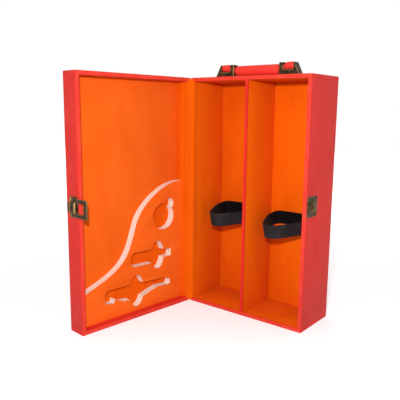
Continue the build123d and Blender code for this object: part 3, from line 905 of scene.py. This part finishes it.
def forward_share(y):
    """How far forward a place on the strap is: 0 at the back lining, 1 at the front."""
    return min(max((STRAP_BACK - y) / STRAP_REACH, 0), 1)


def strap_path(x_centre, level):
    """Points along the middle of the webbing, from one tail to the other, in metres."""
    corners = [((along - 0.5) * STRAP_ACROSS, STRAP_BACK - forward * STRAP_REACH,
                radius * STRAP_ACROSS) for along, forward, radius in STRAP_CORNERS]
    ring = rounded_path(corners, STRAP_THICK / 2)
    seam = (STRAP_SEAM - 0.5) * STRAP_ACROSS
    back = STRAP_BACK - STRAP_THICK / 2
    near, far = seam + STRAP_THICK / 2, seam - STRAP_THICK / 2
    plan = [(near, back + 1.3), (near + 0.1, back + 0.5), (near + 0.6, back + 0.05),
            (near + 2, back), (near + 8, back)]
    plan += [tuple(p) for p in ring]
    plan += [(far - 6, back), (far - 2, back), (far - 0.6, back + 0.05), (far - 0.1, back + 0.5),
             (far, back + 1.3)]
    middle = level - STRAP_HIGH / 2
    return [in_base @ mm(x_centre + x, y, middle - STRAP_DROOP * forward_share(y))
            for x, y in plan]


def lean(mesh, x_centre, level):
    """Draw the lower edge of a strap in towards its middle, more and more to the front."""
    to_hinge = in_base.inverted()
    for vertex in mesh.vertices:
        p = to_hinge @ vertex.co * 1000
        forward = forward_share(p.y)
        below = (level - STRAP_DROOP * forward - p.z) / STRAP_HIGH
        inward = Vector((x_centre - p.x, STRAP_BACK - 0.45 * STRAP_REACH - p.y, 0))
        pull = STRAP_LEAN * below * min(forward * 2.5, 1)
        vertex.co += in_base.to_3x3() @ inward.normalized() * pull / 1000


STRAP_ASIDE = 1.5
for side, wall, far_wall, level in (("left", 5.5, 98.0, 156.0), ("right", 102.0, 194.5, 152.0)):
    centre = (wall + far_wall) / 2 - STRAP_ASIDE
    mesh = grown(f"{side}_strap_woven", chain("path", strap_path(centre, level)), band,
                 thickness=STRAP_THICK / 1000, height=STRAP_HIGH / 1000, edge_rounding=0.0005,
                 finish=black_webbing)
    lean(mesh, centre, level)
    add_piece(f"{side}_strap_woven", mesh, black_webbing, "base",
              [f"{side}_strap"])
    print(side, "strap:", len(mesh.vertices), "points")

# %% [markdown]
# The carrying handle is a firm bar of rolled leatherette. Its ends are rolled up and held captive
# in the brackets: when it is lifted, the bar rises and both ends slide inwards. The rolls stay
# rigid: a rolled sheet shows its turns on the end, drawn here by ring grooves.

# %% Handle bar and rolled ends
TOP_MIDDLE = mm(0, -12, 350)
BAR_RADIUS, BAR_LEVEL, NECK_RADIUS, ROLL_LEVEL = 7.2, 9.0, 3.5, 13.3


def tube(stations, sides=28):
    """A closed tube through stations of (x, z, radius) in millimetres above the box's top."""
    turns = [math.tau * i / sides for i in range(sides)]
    return skinned([[TOP_MIDDLE + mm(x, radius * math.cos(a), z + radius * math.sin(a))
                     for a in turns] for x, z, radius in stations])


def bar_stations(sign):
    """From the middle of the grip to the roll: full, tapered, then sloping up to the roll."""
    stations = [(2.0 * i, BAR_LEVEL, BAR_RADIUS) for i in range(17)]
    stations += [(x, BAR_LEVEL, BAR_RADIUS - less) for x, less in (
        (33.4, 0.15), (34.4, 0.7), (35.2, 1.6), (35.7, 2.5))]
    stations += [(36.0 + 11.3 * i / 8, BAR_LEVEL + (ROLL_LEVEL - BAR_LEVEL) * i / 8, NECK_RADIUS)
                 for i in range(9)]
    return [(sign * x, z, radius) for x, z, radius in stations]


def roll_stations(sign):
    return [(sign * x, ROLL_LEVEL, radius) for x, radius in (
        (47.1, 4.2), (47.25, 4.75), (47.6, 5.05), (48.2, 5.2), (58.5, 5.2), (59.1, 5.05),
        (59.45, 4.75), (59.6, 4.2), (59.6, 3.6), (59.3, 3.4), (59.3, 3.1), (59.6, 2.9),
        (59.6, 2.2), (59.3, 2.0), (59.3, 1.7), (59.6, 1.5), (59.6, 0.4))]


for side, sign in (("left", -1), ("right", 1)):
    nodes = [f"{side}_neck"] + (["handle_grip"] if side == "left" else [])
    bar = add_piece(f"{side}_handle_half", tube(bar_stations(sign)), handle_leather,
                    None, nodes)
    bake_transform(bar, f"{side}_end", "handle_grip",
             start=TOP_MIDDLE + mm(sign * 38.0, 0, 9.0), end=TOP_MIDDLE + mm(sign * 8.0, 0, 9.0))
    add_piece(f"{side}_end_rolled", tube(roll_stations(sign)), handle_leather,
              f"{side}_end", [f"{side}_end_roll"])
print("handle ready")

# %% [markdown]
# The rolled bar is closed by one row of stitches on its underside, where the sheet's end is
# turned over. Each stitch is a small tilted grain of thread. A tree lays them along a line at
# an even spacing, and the row of each half bends with that half.

# %% Stitches under the bar
def stitch_tree():
    bench, line = new_tree("stitches_along_a_line", [
        ("Stitch Length", "Float", 0.0026), ("Thread Width", "Float", 0.0007),
        ("Spacing", "Float", 0.0034), ("Finish", "Material", None)])
    curve = bench.put("GeometryNodeMeshToCurve", {}, [line])
    spots = bench.put("GeometryNodeResampleCurve", {"mode": "LENGTH"},
                      {"Curve": curve, "Length": line.also("Spacing")})
    grain = bench.put("GeometryNodeMeshUVSphere", {}, {"Segments": 8, "Rings": 6, "Radius": 0.5},
                      out="Mesh")
    width = line.also("Thread Width")
    size = bench.put("ShaderNodeCombineXYZ", {}, [line.also("Stitch Length"), width, width])
    ahead = bench.put("FunctionNodeAlignRotationToVector", {"axis": "X"},
                      {"Vector": bench.put("GeometryNodeInputTangent")})
    placed = bench.put("GeometryNodeInstanceOnPoints", {}, {
        "Points": spots, "Instance": grain, "Rotation": ahead, "Scale": size})
    return finish_tree(bench, placed, line.also("Finish"))


stitches = stitch_tree()
STITCH_SINK = 0.1
for side, sign in (("left", -1), ("right", 1)):
    row = [TOP_MIDDLE + mm(sign * x, 0, BAR_LEVEL - BAR_RADIUS + STITCH_SINK)
           for x in range(2, 33, 2)]
    mesh = grown(f"{side}_handle_stitches", chain("row", row), stitches, finish=red_thread)
    thread = add_piece(f"{side}_handle_stitches", mesh, red_thread)
    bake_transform(thread, f"{side}_end", "handle_grip",
             start=TOP_MIDDLE + mm(sign * 38.0, 0, BAR_LEVEL),
             end=TOP_MIDDLE + mm(sign * 8.0, 0, BAR_LEVEL))
    print(side, "row:", len(mesh.vertices), "points")

# %% [markdown]
# The metal parts are pressed and cast with eased edges. Each one is a welded copy of its sub-part
# with a rounding that suits it: large on the loop, which hands touch, and small on thin plates.

# %% Brackets, latch and catch with eased edges
EASED = {"left_bracket": ("base", 0.0005, 0.0005), "right_bracket": ("base", 0.0005, 0.0005),
         "catch_plate": ("base", 0.0003, 0.0004), "catch_hook": ("base", 0.0003, 0.0018),
         "latch_plate": ("lid", 0.0003, 0.0005),
         "latch_lever": ("latch_lever", 0.0004, 0.0005),
         "latch_loop": ("latch_loop", 0.0005, 0.0005)}
HOOK_FOOT, HOOK_FADE, LEAST_FACE = 0.0018, 0.0008, 5e-6
for node, (body, size, band) in EASED.items():
    shape = welded(node)
    round_off(shape, sharp_edges(shape, 50.0), size, 3, rim_wear_and_highlight=1.0)
    fade_wear_and_highlight(shape, band, LEAST_FACE)
    # The catch hook keeps its painted edge highlight only where it rises off the plate, faded in above its
    # foot.
    if node == "catch_hook":
        mask = shape.verts.layers.float["worn"]
        for vertex in shape.verts:
            rise = vertex.co.x - WIDTH / 2 - HOOK_FOOT
            vertex[mask] *= min(max(rise / HOOK_FADE, 0.0), 1.0)
    add_piece(node + "_eased", shape, antique_brass, body, [node])
    print(node, "eased by", size * 1000, "mm")

# %% [markdown]
# Tacks hold the latch and the catch, and split rivets hold the brackets. Both have a domed head
# that was pressed on a shank, so one tree makes them all from named sizes: a cylinder whose rings
# draw in towards the top, a square shank, and for a rivet two feet bent apart under the board.
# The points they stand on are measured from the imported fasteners.

# %% A tree that sets fasteners on points
def fastener_tree():
    sizes = {"Head Width": 0.0026, "Head Rise": 0.0007, "Shank Width": 0.0011,
             "Shank Length": 0.0045, "Foot Length": 0.0011, "Foot Thickness": 0.0005}
    bench, points = new_tree("fasteners_on_points", [
        (name, "Float", first) for name, first in sizes.items()] + [("Finish", "Material", None)])
    width, rise, shank, depth, reach, foot = (points.also(name) for name in sizes)

    def moved(shape, height):
        up = bench.put("ShaderNodeCombineXYZ", {}, {"Z": height})
        return bench.put("GeometryNodeTransform", {}, {"Geometry": shape, "Translation": up})

    def bar(x, y, z):
        size = bench.put("ShaderNodeCombineXYZ", {}, [x, y, z])
        return bench.put("GeometryNodeMeshCube", {}, {"Size": size}, out="Mesh")

    drum = bench.put("GeometryNodeMeshCylinder", {}, {
        "Vertices": 14, "Side Segments": 5, "Radius": width / 2, "Depth": rise}, out="Mesh")
    standing = moved(drum, rise / 2)
    spot = bench.put("ShaderNodeSeparateXYZ", {}, [bench.put("GeometryNodeInputPosition")])
    level = spot.also("Z")
    draw_in = 1 - 0.8 * (level / rise) ** 2
    draw_in = draw_in.math("SQRT", draw_in)
    domed = bench.put("GeometryNodeSetPosition", {}, {
        "Geometry": standing,
        "Position": bench.put("ShaderNodeCombineXYZ", {},
                              [spot * draw_in, spot.also("Y") * draw_in, level])})
    pieces = bench.tree.nodes.new("GeometryNodeJoinGeometry")
    for piece in (domed, moved(bar(shank, shank, depth), depth * -0.5),
                  moved(bar(shank, reach, foot), foot / 2 - depth)):
        bench.tree.links.new(piece.socket, pieces.inputs[0])
    facing = bench.put("GeometryNodeInputNamedAttribute", {"data_type": "FLOAT_VECTOR"},
                       {"Name": "facing"})
    turn = bench.put("FunctionNodeAlignRotationToVector", {"axis": "Z"}, {"Vector": facing})
    placed = bench.put("GeometryNodeInstanceOnPoints", {}, {
        "Points": points, "Instance": Wire(bench, pieces.outputs[0]), "Rotation": turn})
    return finish_tree(bench, placed, points.also("Finish"))


def separate_solids(node):
    """The corner points of each solid in a packed sub-part."""
    shape = welded(node)
    left = set(shape.verts)
    solids = []
    while left:
        group, edge_of_group = set(), {left.pop()}
        while edge_of_group:
            group |= edge_of_group
            edge_of_group = {e.other_vert(v) for v in edge_of_group for e in v.link_edges} - group
        left -= group
        solids.append([v.co.copy() for v in group])
    shape.free()
    return solids


def head_points(node, outward, rise):
    """A mesh with one point under each head, facing outward."""
    feet = []
    for solid in separate_solids(node):
        middle = Vector([(min(c) + max(c)) / 2 for c in zip(*solid)])
        top = max(point.dot(outward) for point in solid)
        feet.append(middle + outward * (top - rise - middle.dot(outward)))
    mesh = bpy.data.meshes.new(node)
    mesh.from_pydata([tuple(f) for f in feet], [], [])
    facing = mesh.attributes.new("facing", "FLOAT_VECTOR", "POINT")
    for value in facing.data:
        value.vector = outward
    return mesh


fasteners = fastener_tree()
print("fastener tree:", len(fasteners.nodes), "nodes")

# %% Tacks and rivets
TACK = {"head_width": 0.0026, "head_rise": 0.0007, "shank_width": 0.0011,
        "shank_length": 0.0047, "foot_length": 0.0006, "foot_thickness": 0.0004}
RIVET = {"head_width": 0.0050, "head_rise": 0.0009, "shank_width": 0.0026,
         "shank_length": 0.0068, "foot_length": 0.0070, "foot_thickness": 0.0010}
ACROSS = Vector((1, 0, 0))
for node, body, outward, sizes in (
        ("catch_nails", "base", ACROSS, TACK),
        ("latch_nails", "lid", (in_lid.to_3x3() @ ACROSS).normalized(), TACK),
        ("handle_rivets", "base", Vector((0, 0, 1)), RIVET)):
    heads = head_points(node, outward, sizes["head_rise"])
    count = len(heads.vertices)
    mesh = grown(node + "_domed", heads, fasteners, finish=antique_brass, **sizes)
    add_piece(node + "_domed", mesh, antique_brass, body, [node])
    print(node, "-", count, "heads,", len(mesh.polygons), "faces")

# %% [markdown]
# Plain pale floor and soft light, as in a studio. The floor is pale grey, keeps the shadow of the
# box, and glows only for the camera, so that it joins the white behind it. One small lamp stands
# just above the camera, which gives the short crisp shadows under the straps and the loop.

# %% Floor, backdrop and light
def seen_by_camera(bench):
    """1 for what the camera sees, also in a mirror or through glass."""
    rays = bench.put("ShaderNodeLightPath", out="Is Camera Ray")
    seen = rays.math("MAXIMUM", rays, rays.also("Is Glossy Ray"))
    return seen.math("MAXIMUM", seen, rays.also("Is Transmission Ray"))


def pale_floor():
    bench = Finish("pale_floor", {"Roughness": 0.9, "Specular IOR Level": 0.1})
    bench.feed(base_color=bench.mix(bench.cloud(bench.place, 40.0), (0.60, 0.60, 0.60),
                                    (0.64, 0.64, 0.64)))
    away = bench.put("ShaderNodeVectorMath", {"operation": "LENGTH"}, [bench.place], out="Value")
    glow = bench.put("ShaderNodeEmission", {}, {
        "Color": (1, 1, 1, 1),
        "Strength": seen_by_camera(bench) * (0.46 + 0.54 * away.between(0.35, 1.3))})
    total = bench.put("ShaderNodeAddShader", {}, [bench.shader, glow])
    bench.tree.links.new(total.socket, bench.output.inputs["Surface"])
    return bench.material


floor_mesh = bpy.data.meshes.new("floor")
floor_mesh.from_pydata([(-3, -3, 0), (3, -3, 0), (3, 3, 0), (-3, 3, 0)], [], [(0, 1, 2, 3)])
floor_mesh.materials.append(pale_floor())
floor = bpy.data.objects.new("floor", floor_mesh)
scene.collection.objects.link(floor)

world = bpy.data.worlds.new("studio")
world.use_nodes = True
world.node_tree.nodes.clear()
sky = Bench(world.node_tree)
backdrop = sky.put("ShaderNodeBackground", {}, {"Color": (1.0, 1.0, 1.0, 1.0),
                                                "Strength": 0.61 + 0.39 * seen_by_camera(sky)})
sky.put("ShaderNodeOutputWorld", {}, {"Surface": backdrop})
scene.world = world


def soft_lamp(name, place, aim, size, power):
    light = bpy.data.lights.new(name, "AREA")
    light.shape = "DISK"
    light.size = size
    light.energy = power
    lamp = bpy.data.objects.new(name, light)
    lamp.matrix_world = Matrix.Translation(place) @ (
        aim - place).to_track_quat("-Z", "Y").to_matrix().to_4x4()
    scene.collection.objects.link(lamp)


soft_lamp("key", EYE + mm(-35, 0, 85), mm(-50, 0, 175), 0.03, 4.75)
soft_lamp("fill", mm(-700, 1000, 350), mm(0, 0, 175), 0.8, 5.5)
print("floor, backdrop and light ready")
